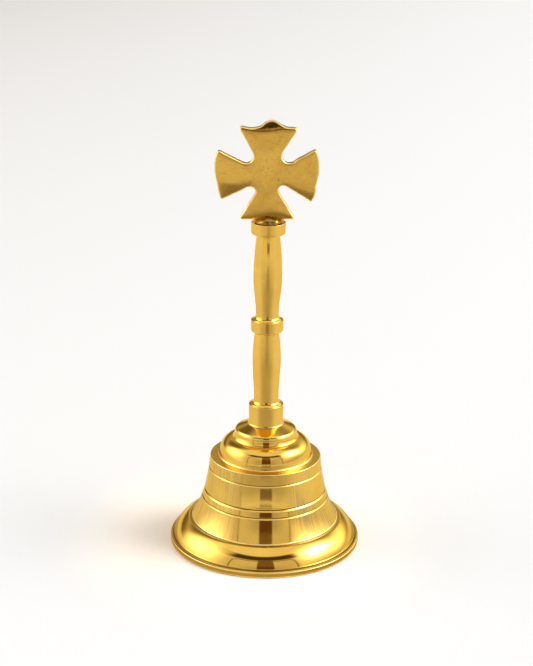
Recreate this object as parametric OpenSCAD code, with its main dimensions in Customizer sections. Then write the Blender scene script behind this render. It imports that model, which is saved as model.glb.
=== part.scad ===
// Sanctus bell: a small brass altar bell with a turned handle and a cross pattee on top.
// The origin is the middle of the mouth on the plane that the rim stands on. +Z runs up the handle.

/* [Bell cup] */
// Radius of the mouth at the rim band
mouth_r = 35; // [33:0.5:37]
// Height of the plain rim band
rim_h = 1.9; // [1.4:0.1:2.4]
// Radius of the waist just above the sound bow
waist_foot_r = 27; // [26:0.25:28]
// Height of the top of the sound bow
bow_h = 8.8; // [8:0.1:9.5]
// Radius of the shoulder
shoulder_r = 20.3; // [19.8:0.1:21]
// Height of the shoulder
shoulder_h = 33.3; // [32:0.1:34]
// Radius of the dome's upright side
dome_r = 17; // [16.6:0.1:17.4]
// Height of the flat top of the dome
dome_h = 40.3; // [39.5:0.1:41]
// Thickness of the cast wall
wall = 2; // [1.6:0.1:2.2]
// Depth of each turned groove
groove_depth = 0.35; // [0.2:0.05:0.5]

/* [Crown cap] */
// Radius of the cap's foot
cap_foot_r = 12.2; // [11.6:0.1:12.6]
// Radius of the cap's upper edge
cap_edge_r = 11.3; // [10.6:0.1:11.5]
// Height of the cap's side
cap_side_h = 2.8; // [2.2:0.1:3.2]
// Height of the shoulder and the conical top above the side
cap_cone_h = 2.6; // [1.8:0.1:3.2]

/* [Handle] */
// Radius of the base ferrule
ferrule_r = 6.3; // [6.1:0.1:6.8]
// Length of the base ferrule
ferrule_h = 7.6; // [6:0.1:9]
// Widest radius of the two grips
grip_r = 5.15; // [4.9:0.05:5.5]
// Length of the lower grip between ferrule and collar
lower_grip_h = 27.6; // [26:0.1:32]
// Length of the upper grip between the collars
upper_grip_h = 31.6; // [28:0.1:36]
// Radius of the middle collar
middle_collar_r = 5.8; // [5.7:0.05:6.2]
// Height of the middle collar
middle_collar_h = 4.5; // [3:0.1:5]
// Radius of the top collar
top_collar_r = 6.1; // [5.9:0.05:6.4]
// Height of the top collar
top_collar_h = 4.3; // [3:0.1:5]
// Depth of the cup turned into the top of each sleeve
cup_depth = 1; // [0.6:0.1:1.4]

/* [Cross] */
// Thickness of the cast cross
cross_thick = 3.4; // [2.8:0.1:4]
// Radius of the foot that fills the top collar's cup
foot_r = 4.9; // [4.2:0.1:5.1]
// Length of the tenon below the foot
tenon_h = 10; // [6:0.5:14]

/* [Tie rod] */
// Radius of the rod
rod_r = 2; // [1.8:0.05:2.2]
// Radial clearance of the rod in its bores
rod_clearance = 0.05; // [0.03:0.01:0.1]
// Centreline radius of the eye
rod_eye_r = 2.2; // [2.1:0.05:2.4]
// Radius of the eye's wire
rod_wire_r = 0.8; // [0.7:0.05:0.85]
// Thickness of the washer
washer_h = 1; // [0.8:0.1:1.2]
// Radius of the washer
washer_r = 6; // [5:0.25:7]
// Width of the nut across its flats
nut_flats = 7; // [6.5:0.25:8]
// Thickness of the nut
nut_h = 3; // [2.4:0.1:3.2]

/* [Clapper] */
// Radius of the ball
ball_r = 5.5; // [4.5:0.25:6]
// Height of the ball's middle above the rim's plane
ball_z = 7.5; // [7:0.25:9]
// Radius of the link's wire
link_wire_r = 0.6; // [0.5:0.05:0.65]
// Drop from the rod's eye to the bottom of the link, wire middle to wire middle
link_drop = 3.6; // [3.5:0.05:4]
// Centreline radius of the stem's eye
stem_eye_r = 1.9; // [1.8:0.05:2]
// Radius of the stem's wire
stem_r = 0.7; // [0.6:0.05:0.75]
// Gap between wires that hang in each other
hang_gap = 0.1; // [0.05:0.01:0.15]

/* [Hidden] */

$fn = 96;
edge = 0.3;                 // small broken edge on turned pieces
through = 1;                // how far a cutter runs past a face
crown_extra = 0.4;          // how much thicker than the wall the crown is
rim_extra = 0.4;            // how much thicker than the wall the rim is

// Heights of the stacked pieces
crown_in_z = dome_h - wall - crown_extra;
cap_z = dome_h;
ferrule_z = cap_z + cap_side_h + cap_cone_h;
lower_grip_z = ferrule_z + ferrule_h;
middle_collar_z = lower_grip_z + lower_grip_h;
upper_grip_z = middle_collar_z + middle_collar_h;
top_collar_z = upper_grip_z + upper_grip_h;
cross_z = top_collar_z + top_collar_h;

// Walls of the cups, the play of the feet that sit in them, and the flare at the ferrule's foot
cup_wall = 0.4;
foot_gap = 0.1;
ferrule_flare = 0.3;
bore_r = rod_r + rod_clearance;

// The cross's seat in the top collar, and its tenon's end inside the upper grip
seat_z = cross_z - cup_depth;
tenon_z = seat_z - tenon_h;

// Heights of the hardware under the crown, and of the rod's top below the tenon
nut_to_eye = 0.2;
rod_to_tenon = 4.8;
washer_z = crown_in_z - washer_h;
nut_z = washer_z - nut_h;
rod_eye_z = nut_z - nut_to_eye - rod_wire_r - rod_eye_r;
rod_top_z = tenon_z - rod_to_tenon;

// The two hinge heights: the wire that the link turns on, and the wire that the stem turns on
link_hinge_z = rod_eye_z - rod_eye_r;
stem_hinge_z = link_hinge_z - link_drop;
link_inner_r = (rod_wire_r + hang_gap + link_drop - link_wire_r) / 2;
link_r = link_inner_r + link_wire_r;
link_z = stem_hinge_z + link_r;
stem_eye_z = stem_hinge_z + link_wire_r + hang_gap + stem_r - stem_eye_r;

// The flat under the ball, which the stem's riveted end bears on
ball_flat_depth = 0.4;
ball_flat_z = ball_z - ball_r + ball_flat_depth;

// Points of an arc from p to q. The bulge is the rise in its middle, to the right of the way from p to q.
function arc(p, q, bulge, steps = 6) =
    let (way = q - p, len = norm(way), along = way / len, across = [along[1], -along[0]])
    let (half = 2 * atan(2 * bulge / len), radius = len / (2 * sin(half)))
    [for (i = [0:steps])
        let (a = half * (2 * i / steps - 1))
        (p + q) / 2 + along * radius * sin(a) + across * radius * (cos(a) - cos(half))];

function reversed(list) = [for (i = [len(list) - 1:-1:0]) list[i]];

// A turned groove in the outline at p: down to the groove's bottom and out again
function groove(p) = [p - [0, groove_depth * 0.8], p - [groove_depth, 0], p + [0, groove_depth * 0.8]];

module turned(outline) {
    rotate_extrude() polygon(outline);
}

module bore(z, h) {
    translate([0, 0, z - through]) cylinder(r = bore_r, h = h + 2 * through);
}

module ring(centre_r, wire_r) {
    rotate_extrude() translate([centre_r, 0]) circle(r = wire_r, $fn = 32);
}

/* Bell cup: the outline runs up the outside from the rim to the crown, then down the inside */

// The waist: its foot just above the sound bow, and three grooves at shares of its height
waist_foot = [waist_foot_r, bow_h + 0.4];
waist_rise = shoulder_h - waist_foot[1];
groove_low = [waist_foot_r - 3.85, waist_foot[1] + 0.345 * waist_rise];
groove_mid = [waist_foot_r - 4.65, waist_foot[1] + 0.46 * waist_rise];
groove_high = [shoulder_r + 0.45, waist_foot[1] + 0.825 * waist_rise];

// The rim band, its top edge, and the fine step up to the sound bow
rim_outside = [[mouth_r - edge, 0], [mouth_r, edge], [mouth_r, rim_h],
               [mouth_r - 0.5, rim_h + 0.3], [mouth_r - 1.1, rim_h + 0.6]];
bow_outside = concat(arc([mouth_r - 1.4, rim_h + 0.9], [waist_foot_r + 1.3, bow_h], 0.75),
                     [[waist_foot_r + 0.8, bow_h + 0.05]]);
waist_outside = concat(arc(waist_foot, groove_low - [0, 0.4], -0.3), groove(groove_low), groove(groove_mid),
                       arc(groove_mid + [-0.1, 0.6], groove_high - [0, 0.6], -0.2), groove(groove_high));
// The shelf rises a little to the dome, whose side curves slowly before it turns in to the crown
dome_foot = [dome_r, shoulder_h + 0.75];
dome_bend = [dome_r - 0.95, shoulder_h + 4.6];
dome_crown = [cap_foot_r + 0.35, dome_h];
dome_outside = concat([[shoulder_r, shoulder_h - edge], [shoulder_r - edge, shoulder_h],
                       [dome_r + 0.45, shoulder_h + 0.2]],
                      arc(dome_foot, dome_bend, 0.24), arc(dome_bend + [-0.05, 0.05], dome_crown, 0.5));

// The inside keeps the wall's thickness, with a slightly thicker sound bow and crown
rim_inside = [mouth_r - wall - rim_extra, 0];
bow_inside = arc(rim_inside + [-0.5, 1.6], [waist_foot_r - wall + 0.2, bow_h + 0.6], 0.6);
waist_inside = concat(arc([waist_foot_r - wall - 1.2, bow_h + 3], groove_low - [wall, -0.6], -0.25),
                      [groove_mid - [wall, -0.6], groove_high - [wall, 0],
                       [shoulder_r - wall, shoulder_h - wall]]);
dome_inside = concat([[dome_r - wall, shoulder_h - wall + 0.4]],
                     arc([dome_r - wall - 0.5, shoulder_h + 0.6],
                         [cap_foot_r - wall + 0.4, crown_in_z], 1));

cup_outside = concat(rim_outside, bow_outside, waist_outside, dome_outside, [[0, dome_h]]);
cup_inside = concat([rim_inside], bow_inside, waist_inside, dome_inside, [[0, crown_in_z]]);

module bell_cup() {
    color("gold") difference() {
        turned(concat(cup_outside, reversed(cup_inside)));
        bore(crown_in_z, dome_h - crown_in_z);
    }
}

/* Crown cap: a disc with a hollow side, a rounded shoulder and a low conical top */
module crown_cap() {
    upper_edge = [cap_edge_r, cap_z + cap_side_h];
    cone_foot = upper_edge + [-0.9, 0.4 * cap_cone_h];
    cone_top = [ferrule_r + ferrule_flare, ferrule_z];
    color("goldenrod") difference() {
        turned(concat(
            [[0, cap_z], [cap_foot_r - 0.2, cap_z]],
            arc([cap_foot_r, cap_z + 0.2], upper_edge - [0, 0.1], -0.25),
            arc(upper_edge - [0.1, -0.1], cone_foot, 0.16), [cone_top, [0, ferrule_z]]
        ));
        bore(cap_z, ferrule_z - cap_z);
    }
}

// The shared top of a sleeve: a thin rim round a shallow cup, then the sleeve's bore
module sleeve(outline, r, z, h) {
    difference() {
        turned(concat([[0, z]], outline, [[r - edge / 2, z + h], [0, z + h]]));
        translate([0, 0, z + h - cup_depth]) cylinder(r = r - cup_wall, h = cup_depth + through);
        bore(z, h);
    }
}

module base_ferrule() {
    foot = [ferrule_r + ferrule_flare, ferrule_z];
    color("gold") sleeve(concat(
        [foot],
        arc(foot + [0, 0.15], [ferrule_r, ferrule_z + 0.8], -0.06),
        [[ferrule_r, ferrule_z + ferrule_h - edge / 2]]
    ), ferrule_r, ferrule_z, ferrule_h);
}

// A collar has a larger broken edge below, where the grip's top enters it
module collar(r, z, h) {
    low_edge = 0.5;
    sleeve([[r - low_edge, z], [r, z + low_edge], [r, z + h - edge / 2]], r, z, h);
}

module middle_collar() {
    color("gold") collar(middle_collar_r, middle_collar_z, middle_collar_h);
}

module top_collar() {
    color("gold") collar(top_collar_r, top_collar_z, top_collar_h);
}

// A grip stands in the cup of the sleeve below it. Its foot spreads in a cove, and its body swells
// to the grip radius at a height that is a share of its length.
module grip(z, h, seat_r, neck_r, swell) {
    base_z = z - cup_depth;
    cove_h = 2.9;
    widest = [grip_r, z + h * swell];
    cove_top = [neck_r, base_z + cove_h];
    top_in = 0.2;
    difference() {
        turned(concat(
            [[0, base_z], [seat_r - foot_gap, base_z], [seat_r - foot_gap, z - foot_gap]],
            arc([seat_r - foot_gap - 0.1, z], cove_top, -0.25),
            arc(cove_top + [0, 0.6], widest, (grip_r - neck_r) / 5),
            arc(widest, [neck_r - top_in, z + h], (grip_r - neck_r) / 4),
            [[0, z + h]]
        ));
        bore(base_z, h + cup_depth);
    }
}

module lower_grip() {
    color("goldenrod") grip(lower_grip_z, lower_grip_h, ferrule_r - cup_wall, grip_r - 0.65, 0.62);
}

module upper_grip() {
    color("goldenrod") grip(upper_grip_z, upper_grip_h, middle_collar_r - cup_wall, grip_r - 1.05, 0.47);
}

/* Cross: a hand-finished casting, so its four arms differ a little and their corners are rounded. The
   outline runs round it from the lower arm, with its heights counted from the lower arm's end. Each
   notch is an arc that bulges inwards, and the top arm has a low hump. */
arm_end_z = cross_z + 1;
right_notches = [arc([3.7, 9.5], [6.1, 11.9], -1.5), arc([9.1, 21.3], [4.5, 23.8], -2.3)];
left_notches = [arc([-5.6, 23.3], [-9.6, 20.5], -1.75), arc([-7.8, 11.3], [-4.7, 9.5], -1.2)];
right_end = concat(arc([14.2, 6.9], [15.3, 7.1], 0.35), arc([15.9, 8.3], [16.4, 12.1], 0.2),
                   arc([16.8, 13.8], [16.4, 24.3], 0.8), [[16.1, 24.9], [15.6, 24.9]]);
left_end = concat([[-17.5, 24.3]], arc([-18.1, 24], [-18.3, 13.2], 0.85),
                  [[-17.5, 9.2]], arc([-17.1, 7.8], [-16.1, 7.1], 0.3));
top_end = concat(arc([9.4, 31.5], [8.7, 32.5], 0.3), arc([6.6, 32.6], [3.6, 33.8], -0.15),
                 arc([3.2, 34], [-1.4, 34.2], 0.8), arc([-1.8, 34], [-4.4, 32.6], -0.25),
                 arc([-5, 32.4], [-9, 32.7], -0.2), arc([-9.6, 32.8], [-10.2, 31.8], 0.3));
lower_end = concat(arc([-10, 0.8], [-9.4, 0], 0.25), arc([8.3, 0.2], [8.9, 0.9], 0.2));
cross_outline = concat(lower_end, right_notches[0], right_end, right_notches[1], top_end,
                       left_notches[0], left_end, left_notches[1]);

module cross() {
    lump_r = rod_r + 1;
    lump_z = arm_end_z + 1.6;
    color("gold") {
        translate([0, 0, arm_end_z]) rotate([90, 0, 0])
            linear_extrude(cross_thick, center = true) polygon(cross_outline);
        turned([[0, tenon_z], [rod_r, tenon_z], [rod_r, seat_z], [foot_r, seat_z],
                [foot_r, cross_z + edge], [lump_r, lump_z], [0, lump_z]]);
    }
}

/* Tie rod with its eye, washer and nut */
module tie_rod() {
    shank_z = rod_eye_z + rod_eye_r;
    color("silver") {
        translate([0, 0, shank_z]) cylinder(r = rod_r, h = rod_top_z - shank_z);
        translate([0, 0, rod_eye_z]) rotate([90, 0, 0]) ring(rod_eye_r, rod_wire_r);
    }
}

module crown_washer() {
    color("lightgray") difference() {
        translate([0, 0, washer_z]) cylinder(r = washer_r, h = washer_h);
        bore(washer_z, washer_h);
    }
}

module lock_nut() {
    color("darkgray") difference() {
        translate([0, 0, nut_z]) cylinder(d = nut_flats / cos(30), h = nut_h, $fn = 6);
        bore(nut_z, nut_h);
    }
}

/* Clapper: the link, the stem with its own eye and riveted end, and the ball */
module clapper_link() {
    color("silver") translate([0, 0, link_z]) rotate([0, 90, 0]) ring(link_r, link_wire_r);
}

module clapper_rod() {
    rivet_h = 0.8;
    stem_top_z = stem_eye_z - stem_eye_r;
    color("silver") {
        translate([0, 0, stem_eye_z]) rotate([90, 0, 0]) ring(stem_eye_r, stem_r);
        translate([0, 0, ball_flat_z]) cylinder(r = stem_r, h = stem_top_z - ball_flat_z);
        translate([0, 0, ball_flat_z - rivet_h]) cylinder(r1 = stem_r, r2 = 2 * stem_r, h = rivet_h);
    }
}

module clapper_ball() {
    bore_play = 0.02;
    color("gold") difference() {
        translate([0, 0, ball_z]) sphere(r = ball_r);
        translate([0, 0, ball_flat_z - ball_r]) cylinder(r = ball_r, h = ball_r);
        translate([0, 0, ball_flat_z - through])
            cylinder(r = stem_r + bore_play, h = 2 * (ball_r + through));
    }
}

bell_cup();
crown_cap();
base_ferrule();
lower_grip();
middle_collar();
upper_grip();
top_collar();
cross();
tie_rod();
crown_washer();
lock_nut();
clapper_link();
clapper_rod();
clapper_ball();
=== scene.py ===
"""Sanctus bell: the looks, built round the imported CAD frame. Sizes are in metres."""
import math

import bmesh
import bpy
import numpy as np
from mathutils import Matrix, Vector, geometry, noise


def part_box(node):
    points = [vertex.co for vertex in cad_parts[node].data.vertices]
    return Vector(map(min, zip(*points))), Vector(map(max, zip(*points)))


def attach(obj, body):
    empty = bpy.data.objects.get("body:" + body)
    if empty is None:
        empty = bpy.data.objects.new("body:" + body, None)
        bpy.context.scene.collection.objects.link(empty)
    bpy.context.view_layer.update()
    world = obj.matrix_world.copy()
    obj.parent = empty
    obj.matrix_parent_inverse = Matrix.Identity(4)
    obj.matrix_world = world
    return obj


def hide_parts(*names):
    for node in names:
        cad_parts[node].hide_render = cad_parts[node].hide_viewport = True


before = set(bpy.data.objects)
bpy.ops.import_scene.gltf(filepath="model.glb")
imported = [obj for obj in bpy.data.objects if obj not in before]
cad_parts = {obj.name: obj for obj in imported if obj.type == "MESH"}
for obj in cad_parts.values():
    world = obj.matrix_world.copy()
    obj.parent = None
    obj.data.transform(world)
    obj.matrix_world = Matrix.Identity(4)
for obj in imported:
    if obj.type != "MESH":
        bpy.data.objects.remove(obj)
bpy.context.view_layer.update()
MM = 0.001


# ---------------------------------------------------------------- outlines

def along(p, q, bulge=0.0, step=0.35):
    """Points from p to q in mm, straight or on an arc whose middle lies bulge to the right of the way."""
    p, q = np.array(p, float), np.array(q, float)
    way = q - p
    length = float(np.hypot(*way))
    count = max(1, int(math.ceil(length / step)))
    if abs(bulge) < 1e-6:
        return [p + way * k / count for k in range(count + 1)]
    forward = way / length
    right = np.array([forward[1], -forward[0]])
    half = 2 * math.atan(2 * bulge / length)
    radius = length / (2 * math.sin(half))
    count = max(count, int(math.ceil(abs(half) * 2 / math.radians(5))))
    turns = [half * (2 * k / count - 1) for k in range(count + 1)]
    return [(p + q) / 2 + forward * radius * math.sin(a) + right * radius * (math.cos(a) - math.cos(half))
            for a in turns]


class Outline:
    """A turned outline in mm, drawn run by run. Each run has a finish, and each corner a round, which may
    have a finish of its own."""

    def __init__(self, r, z, round_by=0.0, zone=0, edge=None):
        self.points = [np.array([r, z], float)]
        self.rounds = [round_by]
        self.edges = [edge]
        self.zones = []
        self.zone = zone

    def to(self, r, z, round_by=0.0, bulge=0.0, zone=None, edge=None):
        self.zone = self.zone if zone is None else zone
        run = along(self.points[-1], (r, z), bulge)[1:]
        self.points += run
        self.rounds += [0.0] * (len(run) - 1) + [round_by]
        self.edges += [None] * (len(run) - 1) + [edge]
        self.zones += [self.zone] * len(run)

    def closed(self):
        """Rings of (point, finish) round the closed outline, with every corner rounded."""
        run = along(self.points[-1], self.points[0])[1:-1]
        points = self.points + run
        rounds = self.rounds + [0.0] * len(run)
        edges = self.edges + [None] * len(run)
        zones = self.zones + [self.zone] * (len(run) + 1)
        count = len(points)
        drop, fillets = set(), {}
        for k in range(count):
            if rounds[k] > 0:
                back, skip_back = self._walk(points, k, -1, rounds[k])
                ahead, skip_ahead = self._walk(points, k, 1, rounds[k])
                drop |= {k} | skip_back | skip_ahead
                fillets[k] = (back, points[k], ahead)
        rings = []
        for k in range(count):
            if k in fillets:
                a, b, c = fillets[k]
                for t in (0.0, 0.2, 0.4, 0.6, 0.8, 1.0):
                    point = a * (1 - t) ** 2 + b * 2 * t * (1 - t) + c * t * t
                    side = zones[k - 1] if t < 0.5 else zones[k]
                    rings.append((point, side if edges[k] is None or t == 1.0 else edges[k]))
            elif k not in drop:
                rings.append((points[k], zones[k]))
        return rings

    @staticmethod
    def _walk(points, k, way, distance):
        """The place that lies distance from corner k along the outline, and the points passed on the way."""
        count, here, passed, left = len(points), points[k], set(), distance
        i = (k + way) % count
        while True:
            gap = float(np.hypot(*(points[i] - here)))
            if gap >= left:
                return here + (points[i] - here) * left / gap, passed
            left -= gap
            here = points[i]
            passed.add(i)
            i = (i + way) % count


# ---------------------------------------------------------------- meshes

def new_piece(name, verts, faces, body, stands_for, finishes, zones=None):
    """A mesh piece that rides on a CAD body and stands for one CAD node. finishes holds its materials by
    zone."""
    mesh = bpy.data.meshes.new(name)
    mesh.from_pydata([tuple(v) for v in verts], [], faces)
    zones = zones or [0] * len(faces)
    used = sorted(set(zones))
    for zone in used:
        mesh.materials.append(finishes[zone])
    mesh.polygons.foreach_set("material_index", [used.index(zone) for zone in zones])
    mesh.polygons.foreach_set("use_smooth", [True] * len(mesh.polygons))
    mesh.update()
    piece = bpy.data.objects.new(name, mesh)
    bpy.context.scene.collection.objects.link(piece)
    tidy = bmesh.new()
    tidy.from_mesh(mesh)
    bmesh.ops.recalc_face_normals(tidy, faces=tidy.faces)
    tidy.to_mesh(mesh)
    tidy.free()
    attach(piece, body)
    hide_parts(stands_for)
    return piece


def level_ring(radius, height, sides):
    """Points round a level circle about +Z, in metres."""
    turns = [2 * math.pi * s / sides for s in range(sides)]
    return [(radius * math.cos(a), radius * math.sin(a), height) for a in turns]


def quads(rings, sides, closed=False):
    """The faces between neighbouring rings of vertices, and from the last to the first if closed."""
    faces = []
    for k in range(rings if closed else rings - 1):
        here, following = k * sides, (k + 1) % rings * sides
        for s in range(sides):
            right = (s + 1) % sides
            faces.append((here + s, here + right, following + right, following + s))
    return faces


def capped(verts, sides, ends):
    """A shell of rings of vertices, with a fan from the first and the last ring to the two tips in ends."""
    rings = len(verts) // sides
    faces = quads(rings, sides)
    for start, tip in zip((0, (rings - 1) * sides), ends):
        faces += [(start + s, start + (s + 1) % sides, len(verts)) for s in range(sides)]
        verts = verts + [tip]
    return verts, faces


def lathe(rings, segments):
    """Vertices, quads and zones of a closed outline turned about +Z."""
    verts = [v for p, _ in rings for v in level_ring(p[0] * MM, p[1] * MM, segments)]
    zones = [zone for _, zone in rings for _ in range(segments)]
    return verts, quads(len(rings), segments, closed=True), zones


def turned(name, outline, body, finishes, segments=160):
    verts, faces, zones = lathe(outline.closed(), segments)
    return new_piece(name + "_turned", verts, faces, body, name, finishes, zones)


def tube(path, radius, sides, closed):
    """Vertices and faces of a round wire along a path of points in metres, with domed ends if it is open."""
    path = [Vector(p) for p in path]
    count = len(path)
    tangents = []
    for k in range(count):
        ahead = path[(k + 1) % count] if closed or k < count - 1 else path[k]
        back = path[k - 1] if closed or k > 0 else path[k]
        tangents.append((ahead - back).normalized())
    side = tangents[0].orthogonal().normalized()
    verts = []
    for k in range(count):
        side = (side - tangents[k] * side.dot(tangents[k])).normalized()
        other = tangents[k].cross(side)
        for s in range(sides):
            a = 2 * math.pi * s / sides
            verts.append(path[k] + side * radius * math.cos(a) + other * radius * math.sin(a))
    if closed:
        return verts, quads(count, sides, closed=True)
    dome = 0.5
    ends = (path[0] + tangents[0] * radius * -dome, path[-1] + tangents[-1] * radius * dome)
    return capped(verts, sides, ends)


def joined(parts):
    """One list of vertices and faces from several closed shells."""
    verts, faces = [], []
    for part_verts, part_faces in parts:
        shift = len(verts)
        verts += list(part_verts)
        faces += [tuple(i + shift for i in f) for f in part_faces]
    return verts, faces


# ---------------------------------------------------------------- node trees

DEGREES = 180 / math.pi
RELIEF = 0.00001        # the height that a full step of a relief texture stands for, in metres


class Graph:
    """A short way to write a node tree."""

    def __init__(self, tree):
        self.tree = tree
        tree.nodes.clear()

    def add(self, kind, inputs=(), **settings):
        node = self.tree.nodes.new("ShaderNode" + kind)
        for key, value in settings.items():
            setattr(node, key, value)
        for key, value in dict(inputs).items():
            if isinstance(value, bpy.types.NodeSocket):
                self.tree.links.new(value, node.inputs[key])
            else:
                node.inputs[key].default_value = value
        return node

    def math(self, operation, *values):
        return self.add("Math", enumerate(values), operation=operation).outputs[0]

    def ease(self, value, low, high, out_low=0.0, out_high=1.0, kind="SMOOTHSTEP"):
        """value eased from out_low at low to out_high at high."""
        ends = {"Value": value, "From Min": low, "From Max": high, "To Min": out_low, "To Max": out_high}
        return self.add("MapRange", ends, interpolation_type=kind).outputs["Result"]

    def between(self, value, low, high, soft):
        """1 between low and high, and 0 outside, with soft edges."""
        rise = self.ease(value, low - soft, low + soft)
        fall = self.ease(value, high - soft, high + soft, 1.0, 0.0)
        return self.math("MULTIPLY", rise, fall)

    def mix(self, share, first, second, blend="MIX"):
        node = self.add("Mix", {0: share, 6: first, 7: second}, data_type="RGBA", blend_type=blend)
        return node.outputs[2]

    def noise(self, vector, scale, detail, rough):
        inputs = {"Vector": vector, "Scale": scale, "Detail": detail, "Roughness": rough}
        return self.add("TexNoise", inputs).outputs["Fac"]

    def hypot(self, a, b):
        squares = self.math("ADD", self.math("POWER", a, 2.0), self.math("POWER", b, 2.0))
        return self.math("SQRT", squares)

    def azimuth(self, x, y):
        """The direction in degrees: 0 towards the camera's side, rising towards +X."""
        return self.math("MULTIPLY", self.math("ARCTAN2", x, self.math("MULTIPLY", y, -1.0)), DEGREES)


def rgb(r, g, b):
    return (r, g, b, 1.0)


def lathe_space(g):
    """The place on a turned piece, and its radius, turn and height as sockets of their own, in metres and
    radians."""
    place = g.add("TexCoord").outputs["Object"]
    split = g.add("SeparateXYZ", {0: place}).outputs
    return place, g.hypot(split[0], split[1]), g.math("ARCTAN2", split[1], split[0]), split[2]


def metal(g, colour, roughness, height, distance=RELIEF, more=()):
    """The Principled shader at the end of a metal, with a bump whose full height is distance."""
    inputs = {"Base Color": colour, "Metallic": 1.0, "Roughness": roughness, **dict(more)}
    shader = g.add("BsdfPrincipled", inputs)
    bump = g.add("Bump", {"Strength": 1.0, "Distance": distance, "Height": height})
    g.tree.links.new(bump.outputs["Normal"], shader.inputs["Normal"])
    g.add("OutputMaterial", {"Surface": shader.outputs[0]})
    return shader


def one_sided(g, shader):
    """Ends a material that is clear where it is seen from behind."""
    under = g.add("NewGeometry").outputs["Backfacing"]
    clear = g.add("BsdfTransparent").outputs[0]
    both = g.add("MixShader", {0: under, 1: shader, 2: clear})
    g.add("OutputMaterial", {"Surface": both.outputs[0]})


def new_graph(name):
    material = bpy.data.materials.new(name)
    material.use_nodes = True
    return material, Graph(material.node_tree)


# ---------------------------------------------------------------- metals

BRASS = (0.87, 0.545, 0.105)
GRAZING = rgb(1.0, 0.86, 0.5)       # the brass stays golden where it is seen at a low angle
SCRATCH = rgb(0.45, 0.25, 0.05)


def brass(name, roughness, tone=1.0, rings=0.0, ring_size=0.00025, broken=6.0, grain=0.0, brushed=0.0,
          tarnish=0.0, anisotropic=0.0, spread=0.2, bright_from=0.0):
    """Lathe-turned brass. rings is the depth of the tool's lines in metres, ring_size their spacing, broken
    how often they change round the piece, grain the depth of a cast grain, brushed the strength of the
    upright brush marks, tarnish the share of dark film, spread how far the roughness wanders, and
    bright_from the height above which it is better polished."""
    material, g = new_graph(name)
    place, radius, turn, height = lathe_space(g)
    across = g.math("ADD", radius, height)
    cosine, sine = g.math("COSINE", turn), g.math("SINE", turn)
    lines_at = g.add("CombineXYZ", {0: g.math("DIVIDE", across, ring_size),
                                    1: g.math("MULTIPLY", cosine, broken),
                                    2: g.math("MULTIPLY", sine, broken)}).outputs[0]
    lines = g.noise(lines_at, 1.0, 2.0, 0.6)
    clouds = g.noise(place, 90.0, 4.0, 0.55)
    specks = g.noise(place, 1500.0, 2.0, 0.5)
    light = rgb(*(min(1.0, c * tone * 1.03) for c in BRASS))
    deep = rgb(BRASS[0] * tone * 0.95, BRASS[1] * tone * 0.91, BRASS[2] * tone * 0.84)
    colour = g.mix(g.ease(clouds, 0.3, 0.7), light, deep)
    colour = g.mix(g.ease(lines, 0.62, 0.8, 0.0, 0.08), colour, SCRATCH)
    if tarnish:
        darkening = g.math("MULTIPLY", g.ease(clouds, 0.42, 0.66), g.ease(specks, 0.35, 0.65))
        colour = g.mix(g.math("MULTIPLY", darkening, tarnish), colour, rgb(0.2, 0.11, 0.03))
    uneven = g.math("ADD", g.ease(lines, 0.3, 0.75, -0.5, 0.5), g.ease(clouds, 0.3, 0.7, -0.3, 0.3))
    rough = g.math("MULTIPLY_ADD", uneven, roughness * spread, roughness)
    if bright_from:
        rough = g.math("MULTIPLY", rough, g.ease(height, bright_from - 0.003, bright_from + 0.009, 1.0, 0.32))
    relief = g.math("MULTIPLY", lines, rings / RELIEF)
    if grain:
        relief = g.math("MULTIPLY_ADD", specks, grain / RELIEF, relief)
    if brushed:
        # Upright strokes come in patches, so that the mirror between them stays clear
        round_piece, up_piece = 58.0, 45.0
        strokes_at = g.add("CombineXYZ", {0: g.math("MULTIPLY", cosine, round_piece),
                                          1: g.math("MULTIPLY", sine, round_piece),
                                          2: g.math("MULTIPLY", height, up_piece)}).outputs[0]
        strokes = g.noise(strokes_at, 1.0, 3.0, 0.65)
        patches = g.ease(g.noise(place, 55.0, 1.0, 0.4), 0.34, 0.5)
        patches = g.math("MULTIPLY", patches, g.ease(g.math("ABSOLUTE", cosine), 0.3, 0.55))
        rough = g.math("MULTIPLY_ADD", patches, 0.2 * brushed, rough)
        marks = g.math("MULTIPLY", strokes, patches)
        relief = g.math("MULTIPLY_ADD", marks, 0.9 * brushed, relief)
        dull = g.math("MULTIPLY", g.ease(strokes, 0.36, 0.62, 0.0, brushed), patches)
        colour = g.mix(dull, colour, rgb(0.55, 0.37, 0.12))
    shader = metal(g, colour, rough, relief, more={"Specular Tint": GRAZING})
    if anisotropic:
        tangent = g.add("Tangent", direction_type="RADIAL", axis="Z")
        g.tree.links.new(tangent.outputs[0], shader.inputs["Tangent"])
        shader.inputs["Anisotropic"].default_value = anisotropic
    return material


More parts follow.
